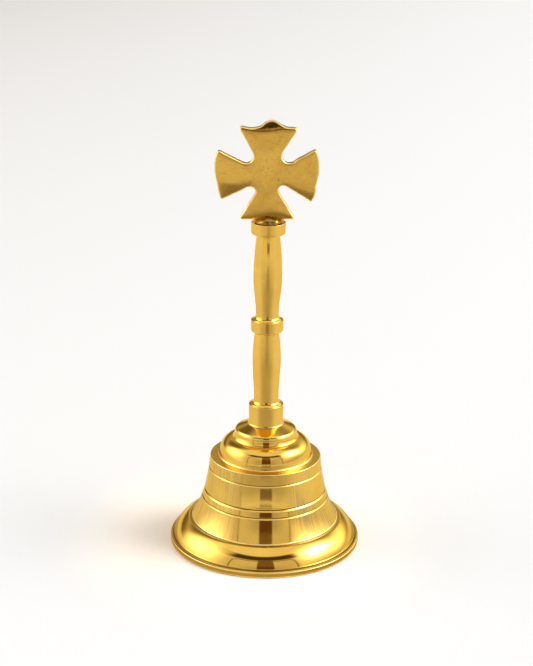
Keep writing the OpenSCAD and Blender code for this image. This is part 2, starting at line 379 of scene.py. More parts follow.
def cast_brass():
    """The cross's hand-finished face: fine level scratches, pits and a soft unevenness."""
    material, g = new_graph("cross_cast_brass")
    place = g.add("TexCoord").outputs["Object"]
    lie = g.add("Mapping", {"Vector": place, "Scale": (500.0, 500.0, 9000.0)}).outputs[0]
    scratches = g.noise(lie, 1.0, 3.0, 0.6)
    clouds = g.noise(place, 120.0, 4.0, 0.55)
    pits = g.noise(place, 1700.0, 2.0, 0.5)
    colour = g.mix(g.ease(clouds, 0.3, 0.7), rgb(0.87, 0.53, 0.10), rgb(0.83, 0.495, 0.088))
    colour = g.mix(g.ease(scratches, 0.58, 0.72, 0.0, 0.3), colour, SCRATCH)
    colour = g.mix(g.ease(pits, 0.66, 0.72, 0.0, 0.75), colour, rgb(0.25, 0.11, 0.02))
    rough = g.math("ADD", g.ease(clouds, 0.3, 0.7, 0.15, 0.2), g.ease(scratches, 0.4, 0.8, 0.0, 0.1))
    relief = g.math("ADD", g.math("MULTIPLY", scratches, 0.2), g.math("MULTIPLY", clouds, 0.8))
    relief = g.math("SUBTRACT", relief, g.ease(pits, 0.68, 0.78, 0.0, 0.8))
    metal(g, colour, rough, relief, 2 * RELIEF)
    return material


def burnish_and_highlight_edge():
    """The burnished line on a turned edge, painted paler than the brass round it: partly a painted highlight
    for the bright line along the edge.
    """
    material, g = new_graph("burnished_edge_painted_highlight")
    place = g.add("TexCoord").outputs["Object"]
    clouds = g.noise(place, 200.0, 3.0, 0.6)
    # Painted highlight: the edge's colour is paler than the brass
    colour = g.mix(g.ease(clouds, 0.3, 0.7), rgb(0.94, 0.74, 0.32), rgb(0.90, 0.63, 0.19))
    rough = g.ease(clouds, 0.3, 0.7, 0.28, 0.36)
    metal(g, colour, rough, clouds)
    return material


def zinc_steel(name, roughness):
    """Bright zinc-plated steel, a little dull, with drawn lines and a trace of brown in its clouds."""
    material, g = new_graph(name)
    place = g.add("TexCoord").outputs["Object"]
    clouds = g.noise(place, 300.0, 4.0, 0.6)
    specks = g.noise(place, 2500.0, 3.0, 0.6)
    colour = g.mix(g.ease(clouds, 0.35, 0.7), rgb(0.62, 0.6, 0.56), rgb(0.46, 0.43, 0.37))
    colour = g.mix(g.ease(specks, 0.62, 0.75, 0.0, 0.35), colour, rgb(0.3, 0.22, 0.14))
    rough = g.ease(specks, 0.3, 0.7, roughness * 0.8, roughness * 1.3)
    metal(g, colour, rough, specks)
    return material


# ---------------------------------------------------------------- turned pieces

ROD_R = 2.0             # the tie rod's radius, in mm
BORE_R = 2.05           # the bores that it passes through
CUP_DEPTH = 1.0         # the shallow cup in the top of each sleeve
CUP_WALL = 0.4          # the thin wall round that cup
POLISHED, BRUSHED, SATIN, CAST, LIP, EDGE, GROOVE, GRIP, SHELF = range(9)


def sizes(node):
    """Outer radius, foot and top of a turned CAD node, in mm."""
    low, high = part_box(node)
    return high.x / MM, low.z / MM, high.z / MM


def groove(line, low, high, depth, zone):
    """A fine turned groove between two (radius, height) points of the outline, with a burnished lower lip
    painted pale as a highlight.
    """
    middle = (np.array(low) + np.array(high)) / 2 - np.array([depth, 0.0])
    line.to(*low, round_by=0.1, zone=zone, edge=EDGE)
    line.to(*middle, round_by=0.08, zone=POLISHED, edge=GROOVE)
    line.to(*high, round_by=0.08, zone=GROOVE)


def bell_cup(finishes):
    mouth_r, foot, top = sizes("bell_cup")
    rim_h, bow_h, shoulder_h, crown_in = 1.9, 8.8, 33.3, 37.9
    waist_r, shoulder_r, dome_r, neck_r = 27.0, 20.3, 17.0, 12.2
    wall, lip_wall = 2.0, 2.4
    line = Outline(mouth_r - lip_wall, foot, 0.3)
    # The rim band, its turned top edge and the channel inside it
    line.to(mouth_r, foot, 0.25, zone=SATIN)
    line.to(mouth_r, rim_h, 0.2, zone=SATIN, edge=EDGE)
    line.to(mouth_r - 0.72, rim_h + 0.3, 0.12, zone=SATIN, edge=EDGE)
    line.to(mouth_r - 1.0, rim_h + 0.1, 0.1, zone=GROOVE)
    line.to(mouth_r - 1.25, rim_h + 0.8, 0.1, zone=GROOVE)
    # The sound bow and the groove at the foot of the waist
    line.to(mouth_r - 1.4, rim_h + 0.9, 0.05, zone=POLISHED)
    line.to(waist_r + 1.3, bow_h, 0.2, bulge=0.75, zone=POLISHED)
    line.to(waist_r + 0.75, bow_h - 0.15, 0.12, zone=POLISHED)
    line.to(waist_r + 0.45, bow_h + 0.3, 0.1, zone=GROOVE)
    # The waist, with its three grooves
    line.to(waist_r - 0.05, bow_h + 0.5, 0.2, zone=BRUSHED, edge=EDGE)
    line.to(23.4, 17.1, bulge=-0.3, zone=BRUSHED)
    groove(line, (23.38, 17.2), (23.12, 17.85), 0.3, BRUSHED)
    groove(line, (22.54, 19.85), (22.3, 20.7), 0.34, BRUSHED)
    line.to(20.86, 28.6, bulge=-0.09, zone=BRUSHED)
    groove(line, (20.85, 28.75), (20.76, 29.35), 0.3, BRUSHED)
    line.to(shoulder_r, shoulder_h, 0.25, zone=BRUSHED, edge=EDGE)
    # The shoulder's shelf and the dome
    line.to(dome_r + 0.45, shoulder_h + 0.19, 0.12, zone=SHELF)
    line.to(dome_r + 0.2, shoulder_h + 0.44, 0.1, zone=EDGE)
    line.to(dome_r, shoulder_h + 0.75, 0.15, zone=SATIN)
    line.to(dome_r - 0.08, shoulder_h + 1.7, 0.4, zone=SATIN)
    line.to(dome_r - 0.95, shoulder_h + 4.65, 0.5, bulge=0.12, zone=POLISHED)
    line.to(neck_r + 0.1, top, 0.05, bulge=0.5, zone=POLISHED)
    line.to(BORE_R, top, 0.1, zone=SATIN)
    # The bore, the crown's underside and the inside, down to the turned lip
    line.to(BORE_R, crown_in, 0.1, zone=SATIN)
    line.to(neck_r - wall + 0.4, crown_in, 1.2, zone=CAST)
    line.to(dome_r - wall - 0.4, shoulder_h + 0.6, 1.0, bulge=-1.0, zone=CAST)
    line.to(dome_r - wall, shoulder_h - wall + 0.4, 0.8, zone=CAST)
    line.to(shoulder_r - wall, shoulder_h - wall, 0.9, zone=CAST)
    line.to(18.8, 29.0, zone=CAST)
    line.to(20.4, 20.8, 0.4, zone=CAST)
    line.to(21.2, 18.0, 0.4, zone=CAST)
    line.to(23.9, 11.7, 0.6, bulge=0.25, zone=CAST)
    line.to(25.2, 9.4, 0.2, zone=LIP)
    line.to(32.1, 1.6, 0.4, bulge=-0.6, zone=LIP)
    turned("bell_cup", line, "bell", finishes, segments=224)


def crown_cap(finishes):
    foot_r, foot, top = sizes("crown_cap")
    ferrule_foot_r = sizes("base_ferrule")[0]
    edge_r, side_h = foot_r - 0.9, 2.8
    line = Outline(BORE_R, foot, 0.1)
    line.to(foot_r, foot, 0.12, zone=POLISHED)
    line.to(foot_r, foot + 0.25, 0.2)
    line.to(edge_r, foot + side_h, 0.14, bulge=-0.25, zone=POLISHED, edge=EDGE)
    line.to(edge_r - 0.9, foot + side_h + 1.04, 0.3, bulge=0.16, zone=POLISHED)
    line.to(ferrule_foot_r + 0.05, top - 0.1, zone=POLISHED)
    line.to(BORE_R, top - 0.1, 0.1)
    turned("crown_cap", line, "bell", finishes)


def base_ferrule(finishes):
    flare_r, foot, top = sizes("base_ferrule")
    r = flare_r - 0.3
    line = Outline(BORE_R, foot, 0.1, zone=SATIN)
    line.to(flare_r, foot, 0.06)
    line.to(flare_r, foot + 0.18, 0.12, edge=EDGE)
    line.to(r, foot + 0.8, 0.1, bulge=-0.06)
    line.to(r, top, 0.16, edge=EDGE)
    sleeve_cup(line, r, top)
    turned("base_ferrule", line, "bell", finishes, segments=144)


def sleeve_cup(line, r, top):
    """The thin rim and shallow cup that a grip's foot sits in. The rim's top leans inwards."""
    line.to(r - CUP_WALL, top - 0.2, 0.1)
    line.to(r - CUP_WALL, top - CUP_DEPTH, 0.15)
    line.to(BORE_R, top - CUP_DEPTH, 0.1)


def collar(node, finishes):
    r, foot, top = sizes(node)
    low_edge = 0.5
    line = Outline(BORE_R, foot, 0.1, zone=SATIN)
    line.to(r - low_edge, foot, 0.12)
    line.to(r, foot + low_edge, 0.28)
    line.to(r, top, 0.12, edge=EDGE)
    sleeve_cup(line, r, top)
    turned(node, line, "bell", finishes, segments=144)


def grip(node, seat_r, neck_r, widest_r, widest_at, top_r, finishes):
    """A turned grip: its foot spreads in a cove, and its body swells to widest_r at a share of its length."""
    _, foot, top = sizes(node)
    cove_h = 3.0
    line = Outline(BORE_R, foot, 0.1, zone=GRIP)
    line.to(seat_r, foot, 0.1)
    line.to(seat_r, foot + CUP_DEPTH + 0.05, 0.15, zone=POLISHED)
    line.to(seat_r - 0.35, foot + CUP_DEPTH + 0.32, 0.2, zone=POLISHED)
    line.to(neck_r, foot + cove_h, 0.3, bulge=-0.3, zone=POLISHED)
    line.zone = GRIP
    widest_z = foot + (top - foot) * widest_at
    eased(line, widest_r, widest_z, lambda share: (1 - math.cos(math.pi * share)) / 2)
    eased(line, top_r, top, lambda share: share ** 2)
    line.to(BORE_R, top, 0.1)
    turned(node, line, "bell", finishes, segments=144)


def eased(line, r, z, ease):
    """A run whose radius follows an ease of its height."""
    r0, z0 = line.points[-1]
    steps = int(abs(z - z0) / 0.5)
    for k in range(1, steps + 1):
        line.to(r0 + (r - r0) * ease(k / steps), z0 + (z - z0) * k / steps)


# ---------------------------------------------------------------- the cross

FACE, SOLDER, TARNISH_AND_PAINTED_SHADE, BEVEL = range(4)


def closed_loop(corners):
    """Points round a closed outline. Each corner is (x, z, bulge of the side that leads to it)."""
    points = []
    for k, (x, z, bulge) in enumerate(corners):
        before = corners[k - 1]
        points += along((before[0], before[1]), (x, z), bulge, 0.3)[1:]
    points = np.array(points)
    for _ in range(3):
        points = points / 2 + (np.roll(points, 1, 0) + np.roll(points, -1, 0)) / 4
    return points


def cross_outline():
    """The cross's own outline in mm, with its heights counted from the lower arm's end."""
    return closed_loop([
        (-10.0, 0.8, 0), (-9.4, 0.0, 0.25), (8.3, 0.2, 0), (8.9, 0.9, 0.2),
        (3.7, 9.5, 0), (6.1, 11.9, -1.5), (14.2, 6.9, 0),
        (15.3, 7.1, 0.35), (15.9, 8.3, 0), (16.4, 12.1, 0.2),
        (16.8, 13.8, 0), (16.4, 24.3, 0.8), (16.1, 24.9, 0), (15.6, 24.9, 0),
        (9.1, 21.3, 0), (4.5, 23.8, -2.3), (9.4, 31.5, 0), (8.7, 32.5, 0.3),
        (6.6, 32.6, 0), (3.6, 33.8, -0.15), (3.2, 34.0, 0), (-1.4, 34.2, 0.8), (-1.8, 34.0, 0),
        (-4.4, 32.6, -0.25), (-5.0, 32.4, 0), (-9.0, 32.7, -0.2), (-9.6, 32.8, 0), (-10.2, 31.8, 0.3),
        (-5.6, 23.3, 0), (-9.6, 20.5, -1.75), (-17.5, 24.3, 0),
        (-18.1, 24.0, 0), (-18.3, 13.2, 0.85), (-17.5, 9.2, 0), (-17.1, 7.8, 0), (-16.1, 7.1, 0.3),
        (-7.8, 11.3, 0), (-4.7, 9.5, -1.2),
    ])


def ripple(x, z, scale, seed):
    """Soft noise between about -1 and 1."""
    return noise.noise(Vector((x * scale, z * scale, seed)))


def distance_to(loop, points):
    """Distance from each point to a closed loop."""
    a, b = loop, np.roll(loop, -1, 0)
    way = b - a
    share = np.einsum("pkc,kc->pk", points[:, None] - a[None], way) / np.maximum((way ** 2).sum(1), 1e-9)
    near = a[None] + way[None] * np.clip(share, 0, 1)[..., None]
    return np.sqrt(((points[:, None] - near) ** 2).sum(2)).min(1)


def inside(loop, points):
    """Which points lie inside a closed loop."""
    a, b = loop, np.roll(loop, -1, 0)
    x, z = points[:, :1], points[:, 1:]
    rises = (a[:, 1] > z) != (b[:, 1] > z)
    rise = np.where(b[:, 1] == a[:, 1], 1e-9, b[:, 1] - a[:, 1])
    cut = a[:, 0] + (z - a[:, 1]) * (b[:, 0] - a[:, 0]) / rise
    return (rises & (x < cut)).sum(1) % 2 == 1


def cross_plate(foot_z, half_thick):
    """The four arms: a plate with rounded, hand-filed edges and a slightly pillowed face."""
    loop = cross_outline()
    loop = np.array([p + 0.09 * np.array([ripple(*p, 0.45, 3), ripple(*p, 0.45, 9)]) for p in loop])
    edge_r, layers, cell = 0.6, (0.06, 0.17, 0.33, 0.56, 0.62, 0.95, 1.4), 0.6
    bevel_w, painted_shade_from, inset = 0.34, 0.22, 0.05
    inward = np.roll(loop, -1, 0) - np.roll(loop, 1, 0)
    inward = np.stack([-inward[:, 1], inward[:, 0]], 1) / np.maximum(np.hypot(*inward.T), 1e-9)[:, None]
    points = [loop]
    for depth in layers:
        ring = (loop + inward * depth)[:: 1 if depth < 0.9 else 2]
        points.append(ring[distance_to(loop, ring) > 0.97 * depth])
    low, high = loop.min(0), loop.max(0)
    across, up = np.arange(low[0], high[0], cell), np.arange(low[1], high[1], cell)
    grid = np.array([(x, z) for x in across for z in up])
    grid = grid[inside(loop, grid)]
    points.append(grid[distance_to(loop, grid) > layers[-1] + 0.4])
    flat = np.concatenate(points)
    ring_edges = [(k, (k + 1) % len(loop)) for k in range(len(loop))]
    found = geometry.delaunay_2d_cdt([Vector(p) for p in flat], ring_edges, [], 1, 1e-6)
    flat, triangles = np.array([tuple(v) for v in found[0]]), found[2]
    depth = distance_to(loop, flat)
    depth[: len(loop)] = 0.0
    rounding = np.sqrt(np.maximum(edge_r ** 2 - np.maximum(edge_r - depth, 0) ** 2, 0))
    body = half_thick - edge_r + rounding - 0.08 * np.exp(-depth / 1.0)
    top_wear, lower_wear = front_wear(flat)
    front = body - top_wear - lower_wear
    waves = np.array([ripple(*p, 0.16, 21) * 0.05 + ripple(*p, 0.5, 5) * 0.012 for p in flat])
    fade = np.clip(depth / 2.0, 0, 1)
    count = len(flat)
    verts = [(x * MM, -(y + w * f) * MM, (z + foot_z) * MM)
             for (x, z), y, w, f in zip(flat, front - inset, waves, fade)]
    verts += [(x * MM, (y - w * f) * MM, (z + foot_z) * MM)
              for (x, z), y, w, f in zip(flat, body - inset, waves, fade)]
    faces = [tuple(t) for t in triangles] + [tuple(i + count for i in reversed(t)) for t in triangles]
    # The top arm's sloping front gets darkened brass: painted shade in place of the dark reflection there,
    # with a little tarnish
    zones = [BEVEL if max(depth[i] for i in t) < bevel_w else
             TARNISH_AND_PAINTED_SHADE if min(top_wear[i] for i in t) > painted_shade_from else FACE for t in triangles]
    # The filed wall round the edge, between the front ring and the back ring
    rows = 4
    ring = list(range(len(loop)))
    previous = ring
    for row in range(1, rows):
        share = row / rows
        new = []
        for k in ring:
            x, _, z = verts[k]
            y = verts[k][1] * (1 - share) + verts[k + count][1] * share
            new.append(len(verts))
            verts.append((x, y, z))
        faces += [(previous[k], previous[k - 1], new[k - 1], new[k]) for k in ring]
        previous = new
    back = [k + count for k in ring]
    faces += [(previous[k], previous[k - 1], back[k - 1], back[k]) for k in ring]
    return verts, faces, zones + [FACE] * (len(faces) - len(zones))


def front_wear(flat):
    """How far the front face falls back, in mm, at the top arm and at the worn lower edges."""
    x, z = flat.T
    # The top arm's front slopes back under its edge, most of all at the hump
    edge_z = 32.5 + 2.4 * np.exp(-((x - 0.9) / 3.2) ** 2)
    width = 0.2 + 2.9 * np.exp(-((x - 0.6) / 3.2) ** 2) + 0.6 * np.exp(-((x + 5.0) / 3.0) ** 2)
    top = np.where(z > 28, fall(z - (edge_z - width), 0.25), 0) * math.tan(math.radians(33))
    # The lower edges of the side arms and of the lower arm lean back a little
    arms = (z > 6.2) * (z < 16)
    left = fall(12.6 - z, 0.5) * (x < -6.2) * arms
    right = fall(11.9 - 0.32 * (x - 7.4) - z, 0.5) * (x > 5.6) * arms
    hump = 1.1 + 1.5 * np.exp(-((x - 2) / 5) ** 2)
    lower = fall(hump - z, 0.3) * (np.abs(x) < 12)
    return top, (left + right + lower) * math.tan(math.radians(5))


def fall(reach, softness):
    """How far past a line, in mm, with a soft start."""
    return softness * np.logaddexp(0, reach / softness)


def lump_of_solder(seat_z, rim_z, r):
    """The lumpy foot that fills the top collar's cup, with the tenon below it."""
    top_z = rim_z + 2.4
    tenon_z = seat_z - 10.0
    profile = [(ROD_R - 0.25, tenon_z), (ROD_R, tenon_z + 0.3), (ROD_R, seat_z - 0.1)]
    profile += [(r * 0.93, seat_z + 0.02), (r, seat_z + 0.25), (r, rim_z - 0.2)]
    steps = 18
    for k in range(1, steps):
        a = k / steps * math.pi / 2
        profile.append((r * math.cos(a) ** 0.8, rim_z - 0.2 + (top_z - rim_z + 0.2) * math.sin(a)))
    sides = 72
    verts = []
    for pr, pz in profile:
        for s in range(sides):
            a = 2 * math.pi * s / sides
            x, y = pr * math.cos(a), pr * math.sin(a)
            rough = 0.0
            if pz > rim_z - 0.4:
                rough = noise.noise(Vector((x * 0.4, y * 0.4, pz * 0.5 + 4))) * 0.3
                rough += noise.noise(Vector((x * 1.1, y * 1.1, pz * 1.1 + 8))) * 0.04
            swell = 1 + rough * 0.12
            swell = min(swell, (r + 0.25) / max(pr, 1e-6)) if pr > 0.8 * r else swell
            verts.append((x * swell * MM, y * swell * MM, (pz + rough) * MM))
    return capped(verts, sides, ((0.0, 0.0, tenon_z * MM), (0.0, 0.0, (verts[-1][2] / MM + 0.02) * MM)))


def cross(materials):
    rim_z = sizes("top_collar")[2]
    seat_z = rim_z - CUP_DEPTH
    arm_end_z = rim_z + 1.0
    half_thick, foot_r = 1.7, 4.9
    plate_verts, plate_faces, zones = cross_plate(arm_end_z, half_thick)
    foot = lump_of_solder(seat_z, rim_z, foot_r)
    verts, faces = joined([(plate_verts, plate_faces), foot])
    zones += [SOLDER] * len(foot[1])
    new_piece("cross_casting", verts, faces, "bell", "cross", materials, zones)


# ---------------------------------------------------------------- the hardware and the clapper

WIRE_SIDES = 24


def circle_path(centre, radius, axis, start=0.0, end=360.0, steps=72):
    """Points round a circle about the X or Y axis, in metres."""
    points = []
    whole = abs(end - start) >= 360
    for k in range(steps if whole else steps + 1):
        a = math.radians(start + (end - start) * k / steps)
        u, v = radius * math.cos(a), radius * math.sin(a)
        offset = Vector((0, u, v)) if axis == "X" else Vector((u, 0, v))
        points.append(centre + offset)
    return points


def tie_rod(material):
    """The rod with its rolled thread at the lower end and its forged eye."""
    low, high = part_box("tie_rod")
    wire_r, eye_r = 0.8, 2.2
    eye_z = low.z / MM + eye_r + wire_r
    top = high.z / MM
    neck_z = eye_z + eye_r
    thread_top, pitch, depth = neck_z + 9.0, 0.7, 0.16
    sides, row = 40, 0.0875
    rows = [(0.75, neck_z - 0.5), (1.0, neck_z - 0.1), (1.5, neck_z + 0.25), (1.85, neck_z + 0.6)]
    z = neck_z + 0.7
    while z < thread_top:
        rows.append((ROD_R, z))
        z += row
    rows += [(ROD_R, thread_top + 0.5), (ROD_R, top - 0.3), (ROD_R - 0.3, top)]
    verts = []
    for r, z in rows:
        for s in range(sides):
            a = 2 * math.pi * s / sides
            threaded = r == ROD_R and z < thread_top
            turn = (z / pitch - s / sides) % 1.0
            here = r - (depth * 2 * abs(turn - 0.5) if threaded else 0.0)
            verts.append((here * MM * math.cos(a), here * MM * math.sin(a), z * MM))
    shank = capped(verts, sides, ((0.0, 0.0, rows[0][1] * MM), (0.0, 0.0, rows[-1][1] * MM)))
    eye = tube(circle_path(Vector((0, 0, eye_z * MM)), eye_r * MM, "Y"), wire_r * MM, WIRE_SIDES, True)
    verts, faces = joined([shank, eye])
    new_piece("tie_rod_eye_bolt", verts, faces, "bell", "tie_rod", [material])


def crown_washer(material):
    r, foot, top = sizes("crown_washer")
    line = Outline(BORE_R, foot, 0.15)
    line.to(r, foot, 0.3)
    line.to(r, top, 0.12)
    line.to(BORE_R, top, 0.12)
    turned("crown_washer", line, "bell", [material], segments=96)


def lock_nut(material):
    """A hexagonal nut with both faces chamfered to a circle and its bore countersunk."""
    low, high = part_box("lock_nut")
    foot, top = low.z / MM, high.z / MM
    flat_r, past_corners, chamfer_h = 3.5, 9.0, 0.6
    corner_turn = 0.0 if high.x > high.y else math.radians(30)
    slope = math.tan(math.radians(30))
    sides, steps = 144, 8
    profile = [(BORE_R, foot + 0.3), (BORE_R + 0.35, foot), (flat_r - 0.15, foot)]
    profile += [(past_corners, foot + chamfer_h * k / steps) for k in range(1, steps + 1)]
    profile += [(past_corners, top - chamfer_h * (steps - k) / steps) for k in range(1, steps)]
    profile += [(flat_r - 0.15, top), (BORE_R + 0.35, top), (BORE_R, top - 0.3)]
    verts = []
    for r, z in profile:
        for s in range(sides):
            a = 2 * math.pi * s / sides
            off = (a - corner_turn) % math.radians(60) - math.radians(30)
            hexagon = flat_r / math.cos(off)
            chamfer = flat_r - 0.1 + min(z - foot, top - z) / slope
            here = r if r < flat_r else min(hexagon, chamfer)
            verts.append((here * MM * math.cos(a), here * MM * math.sin(a), z * MM))
    faces = quads(len(profile), sides, closed=True)
    nut = new_piece("lock_nut_hexagon", verts, faces, "bell", "lock_nut", [material])
    nut.data.set_sharp_from_angle(angle=math.radians(28))


def clapper_link(material):
    low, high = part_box("clapper_link")
    wire_r = high.x
    centre = (low + high) / 2
    ring_r = high.y - wire_r
    verts, faces = tube(circle_path(centre, ring_r, "X", steps=96), wire_r, WIRE_SIDES, True)
    # The butt joint in the bent wire, on the side away from both eyes
    seam = centre + Vector((0, ring_r, 0))
    seam_w, seam_share = 0.12 * MM, 0.8
    for k, v in enumerate(verts):
        if v.y > centre.y and abs((v - seam).z) < seam_w:
            core = centre + Vector((0, v.y - centre.y, v.z - centre.z)).normalized() * ring_r
            verts[k] = core + (v - core) * seam_share
    new_piece("clapper_link_ring", verts, faces, "link", "clapper_link", [material])


def clapper_rod(material):
    """The stem: a wire bent round into an eye at the top and riveted over under the ball."""
    low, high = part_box("clapper_rod")
    wire_r, eye_r, head_h = 0.7 * MM, 1.9 * MM, 0.8 * MM
    eye = Vector((0, 0, high.z - wire_r - eye_r))
    bottom = low.z + head_h
    eye_foot = eye.z - eye_r
    straight = [Vector((0, 0, bottom + (eye_foot - 0.7 * MM - bottom) * k / 12)) for k in range(13)]
    bend = [Vector((0.05 * MM, 0, eye_foot - 0.35 * MM)), Vector((0.24 * MM, 0, eye_foot - 0.1 * MM))]
    path = straight + bend + circle_path(eye, eye_r, "Y", -72.0, 246.0, 56)
    stem = tube(path, wire_r, WIRE_SIDES, False)
    head = [(0.75, 0.02), (1.1, 0.14), (1.32, 0.38), (1.35, 0.6), (1.15, 0.8)]
    sides = 40
    verts = [v for r, z in head for v in level_ring(r * MM, low.z + z * MM, sides)]
    rivet = capped(verts, sides, ((0.0, 0.0, low.z), (0.0, 0.0, low.z + head_h)))
    verts, faces = joined([stem, rivet])
    new_piece("clapper_stem", verts, faces, "clapper", "clapper_rod", [material])


def clapper_ball(material):
    r, flat_z, _ = sizes("clapper_ball")
    bore_r, middle_z, parting_h, parting_turn = 0.72, 7.5, 0.04, 1.6
    flat_r = math.sqrt(r ** 2 - (middle_z - flat_z) ** 2)
    start = math.asin((flat_z - middle_z) / r)
    end = math.acos((bore_r + 0.3) / r)
    line = Outline(bore_r, flat_z, 0.1)
    line.to(flat_r, flat_z, 0.2)
    steps = 60
    for k in range(1, steps + 1):
        a = start + (end - start) * k / steps
        # A fine parting line stands out round the middle
        here = r - parting_h + parting_h * math.exp(-(math.degrees(a) / parting_turn) ** 2)
        line.to(here * math.cos(a), middle_z + here * math.sin(a))
    line.to(bore_r, line.points[-1][1], 0.08)
    turned("clapper_ball", line, "clapper", [material], segments=128)


# ---------------------------------------------------------------- the studio

COLUMN = (-9.0, 13.0)               # from and to which azimuth the dark upright stands
PANEL_LINE = rgb(0.16, 0.1, 0.06)   # the dark edge of the front panel


def studio_world():
    """A pale room, painted by direction in degrees: a pale panel with a dark upright in front, a dark gap
    above it, and three softboxes."""
    world = bpy.data.worlds.new("studio")
    bpy.context.scene.world = world
    world.use_nodes = True
    g = Graph(world.node_tree)
    split = g.add("SeparateXYZ", {0: g.add("TexCoord").outputs["Generated"]}).outputs
    az = g.azimuth(split[0], split[1])
    el = g.math("MULTIPLY", g.math("ARCSINE", split[2]), DEGREES)
    side = g.math("ABSOLUTE", az)

    # Walls and ceiling: bright at the left, duller low on the right, and dark low down behind
    colour = g.mix(g.ease(az, -70.0, -45.0), rgb(1.15, 1.13, 1.08), rgb(0.76, 0.74, 0.72))
    right = g.mix(g.ease(el, 4.0, 18.0), rgb(0.68, 0.65, 0.62), rgb(1.25, 1.2, 1.1))
    colour = g.mix(g.ease(az, 42.0, 52.0), colour, right)
    behind = g.mix(g.ease(el, 12.0, 26.0), rgb(0.2, 0.17, 0.14), rgb(0.62, 0.6, 0.56))
    behind = g.mix(g.ease(el, 2.0, 8.0), rgb(0.8, 0.79, 0.77), behind)
    colour = g.mix(g.ease(side, 112.0, 138.0), colour, behind)
    colour = g.mix(g.ease(el, 58.0, 65.0), colour, rgb(1.0, 0.99, 0.96))
    corner_left = g.math("MULTIPLY", g.between(az, -166.0, -128.0, 10.0), g.between(el, 26.0, 54.0, 8.0))
    corner_right = g.math("MULTIPLY", g.between(az, 132.0, 166.0, 10.0), g.between(el, 34.0, 54.0, 8.0))
    colour = g.mix(g.math("MULTIPLY", corner_left, 0.9), colour, rgb(0.13, 0.11, 0.09))
    colour = g.mix(g.math("MULTIPLY", corner_right, 0.8), colour, rgb(0.3, 0.27, 0.24))

    # The dark gap between the front panel and the ceiling runs on, weaker, round the room
    gap = g.between(el, 46.0, 61.0, 3.0)
    strength = g.math("MULTIPLY", g.ease(side, 46.0, 66.0, 1.0, 0.35), g.ease(side, 84.0, 104.0, 1.0, 0.0))
    colour = g.mix(g.math("MULTIPLY", gap, strength), colour, rgb(0.08, 0.055, 0.04))

    # The front panel is duller in its middle
    middle = g.math("MULTIPLY", g.between(az, -26.0, 28.0, 12.0), g.between(el, -8.0, 22.0, 8.0))
    colour = g.mix(middle, colour, rgb(0.56, 0.54, 0.52))

    # The front panel's dark edge line, a rectangle with round corners
    corner, half_az, half_el, middle_az, middle_el = 7.0, 44.0, 40.0, -1.0, 3.0
    along_az = g.math("ABSOLUTE", g.math("SUBTRACT", az, middle_az))
    along_el = g.math("ABSOLUTE", g.math("SUBTRACT", el, middle_el))
    over_az = g.math("MAXIMUM", g.math("SUBTRACT", along_az, half_az - corner), 0.0)
    over_el = g.math("MAXIMUM", g.math("SUBTRACT", along_el, half_el - corner), 0.0)
    reach = g.math("ABSOLUTE", g.math("SUBTRACT", g.hypot(over_az, over_el), corner))
    colour = g.mix(g.ease(reach, 0.5, 1.2, 0.85, 0.0), colour, PANEL_LINE)

    # The dark upright in the middle, brown and a little lighter inside
    column = g.math("MULTIPLY", g.between(az, *COLUMN, 0.6), g.between(el, 4.0, 47.0, 0.8))
    grain_at = g.add("CombineXYZ", {0: g.math("MULTIPLY", az, 0.45),
                                    1: g.math("MULTIPLY", el, 0.9)}).outputs[0]
    grain = g.ease(g.noise(grain_at, 1.0, 3.0, 0.6), 0.35, 0.65)
    dark = g.mix(g.ease(el, 20.0, 28.0), rgb(0.10, 0.04, 0.02), rgb(0.15, 0.09, 0.05))
    pale = g.mix(g.ease(el, 20.0, 28.0), rgb(0.2, 0.09, 0.05), rgb(0.30, 0.21, 0.13))
    colour = g.mix(column, colour, g.mix(grain, dark, pale))

    # Three softboxes with a bright heart and a soft fall to their edges
    squareness = 2.6
    for az_at, el_at, wide, high, peak, tint in ((87.0, 42.0, 22.0, 14.0, 13.0, (1.0, 0.99, 0.96)),
                                                 (122.0, 22.0, 26.0, 14.0, 1.5, (1.0, 0.97, 0.9)),
                                                 (-98.0, 30.0, 24.0, 20.0, 2.8, (1.0, 0.98, 0.95))):
        u = g.math("DIVIDE", g.math("SUBTRACT", az, az_at), wide)
        v = g.math("DIVIDE", g.math("SUBTRACT", el, el_at), high)
        square = g.math("ADD", g.math("POWER", g.math("ABSOLUTE", u), squareness),
                        g.math("POWER", g.math("ABSOLUTE", v), squareness))
        glow = g.math("MULTIPLY", g.math("EXPONENT", g.math("MULTIPLY", square, -1.0)), peak)
        shares = [g.math("MULTIPLY", glow, share) for share in tint]
        lit = g.add("CombineColor", enumerate(shares)).outputs[0]
        colour = g.mix(1.0, colour, lit, "ADD")

    background = g.add("Background", {"Color": colour, "Strength": 1.0})
    g.add("OutputWorld", {"Surface": background.outputs[0]})


def hide_from(thing, *rays):
    for ray in rays:
        setattr(thing, "visible_" + ray, False)


def flat_ring(name, hole, radius, height, material):
    """A level ring that faces up, with a round hole."""
    sides = 96
    verts = level_ring(hole, height, sides) + level_ring(radius, height, sides)
    faces = [tuple(reversed(f)) for f in quads(2, sides)]
    mesh = bpy.data.meshes.new(name)
    mesh.from_pydata(verts, [], faces)
    mesh.materials.append(material)
    ring = bpy.data.objects.new(name, mesh)
    bpy.context.scene.collection.objects.link(ring)
    return ring


